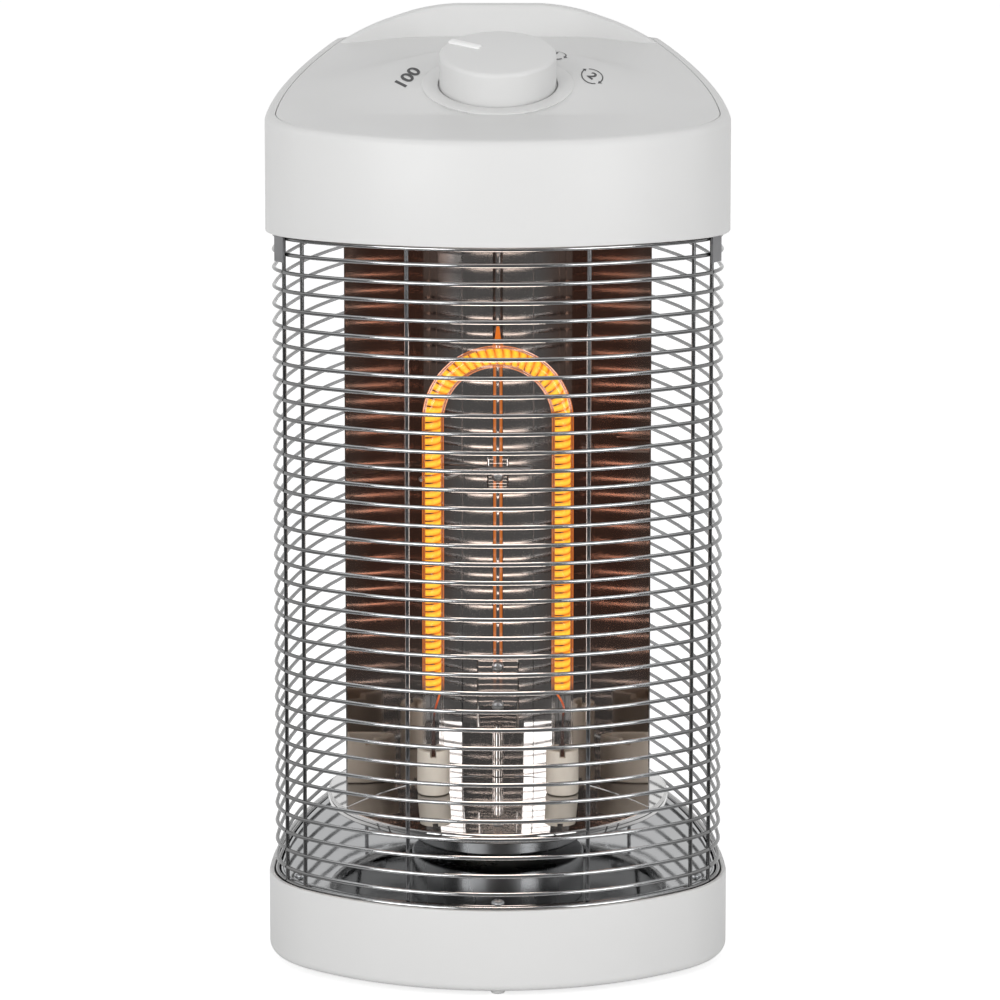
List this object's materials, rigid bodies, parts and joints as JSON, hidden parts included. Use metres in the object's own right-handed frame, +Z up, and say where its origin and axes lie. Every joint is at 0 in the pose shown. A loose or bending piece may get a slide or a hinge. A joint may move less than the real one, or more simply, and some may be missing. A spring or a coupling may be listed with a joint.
{
  "type": "infrared heater",
  "caption": "Free-standing infrared heater: a wire guard round a swinging polished reflector with a U-shaped lamp, over a white base and under a sloped top with a round knob.",
  "frame": {"origin": "on the floor, under the middle of the body's width and depth", "axes": "+X to the viewer's right when facing the front, +Y towards the rear, +Z up"},
  "size_m": [0.229, 0.252, 0.468],
  "materials": {
    "white_plastic": "satin white moulded plastic",
    "chrome_wire": "bright plated wire",
    "mirror_steel": "mirror-polished sheet steel",
    "plain_steel": "plain zinc-plated steel",
    "dark_steel": "darkened steel",
    "rubber": "matt black rubber",
    "gear_plastic": "natural acetal",
    "dark_plastic": "matt black",
    "ceramic": "unglazed cream ceramic",
    "quartz": "clear quartz",
    "glowing_carbon": "glowing carbon coil"
  },
  "bodies": {
    "body": {"base_shell": "white_plastic", "foot_front_left": "rubber", "foot_front_right": "rubber", "foot_rear_left": "rubber", "foot_rear_right": "rubber", "deck_plate": "mirror_steel", "deck_screw_front": "plain_steel", "deck_screw_left": "plain_steel", "deck_screw_right": "plain_steel", "deck_screw_rear_left": "plain_steel", "deck_screw_rear_right": "plain_steel", "guard_front": "chrome_wire", "guard_rear": "chrome_wire", "guard_wire_left": "chrome_wire", "guard_wire_right": "chrome_wire", "guard_wire_rear_left": "chrome_wire", "guard_wire_rear_right": "chrome_wire", "guard_clip_left": "dark_steel", "guard_clip_right": "dark_steel", "rear_column": "plain_steel", "top_housing": "white_plastic", "heat_shield": "plain_steel", "thermal_cutout": "plain_steel", "control_lid": "white_plastic", "rotary_switch": "dark_plastic", "oscillation_motor": "plain_steel", "motor_screw_left": "plain_steel", "motor_screw_right": "plain_steel", "spindle_bush": "gear_plastic", "tip_switch_body": "dark_plastic", "terminal_block": "dark_plastic", "cord_gland": "dark_plastic", "wire_harness": "dark_plastic"},
    "turntable": {"turntable_disc": "mirror_steel", "spindle_drum": "mirror_steel", "spindle_clip": "plain_steel", "sector_gear": "gear_plastic", "reflector": "mirror_steel", "reflector_bracket": "plain_steel", "pad_screw_lower": "plain_steel", "pad_screw_upper": "plain_steel", "support_screw": "plain_steel", "lamp_tube": "quartz", "lamp_filament": "glowing_carbon", "lamp_cap_left": "ceramic", "lamp_cap_right": "ceramic", "lamp_support": "plain_steel"},
    "pinion": {"motor_pinion": "gear_plastic"},
    "knob": {"knob": "white_plastic", "switch_shaft": "plain_steel"},
    "tip_plunger": {"tip_plunger": "white_plastic", "tip_spring": "plain_steel"}
  },
  "joints": [
    {"name": "turntable_swing", "type": "hinge", "parent": "body", "child": "turntable", "pos_m": [0, -0.0102, 0.073], "axis": [0, 0, 1], "range_deg": [-35, 35]},
    {"name": "pinion_spin", "type": "hinge", "parent": "body", "child": "pinion", "pos_m": [0, 0.0333, 0.035], "axis": [0, 0, 1], "range_deg": [-170, 170]},
    {"name": "knob_turn", "type": "hinge", "parent": "body", "child": "knob", "pos_m": [0, -0.0232, 0.43548], "axis": [0, -0.3173, 0.9483], "range_deg": [-134, 22]},
    {"name": "tip_plunger_drop", "type": "slide", "parent": "body", "child": "tip_plunger", "axis": [0, 0, 1], "range_m": [-0.003, 0], "stiffness_N_per_m": 100, "springref_m": -0.003, "deforming": ["tip_spring"]}
  ],
  "couplings": [
    {"joint": "pinion_spin", "follows": "turntable_swing", "ratio": -4.8}
  ]
}
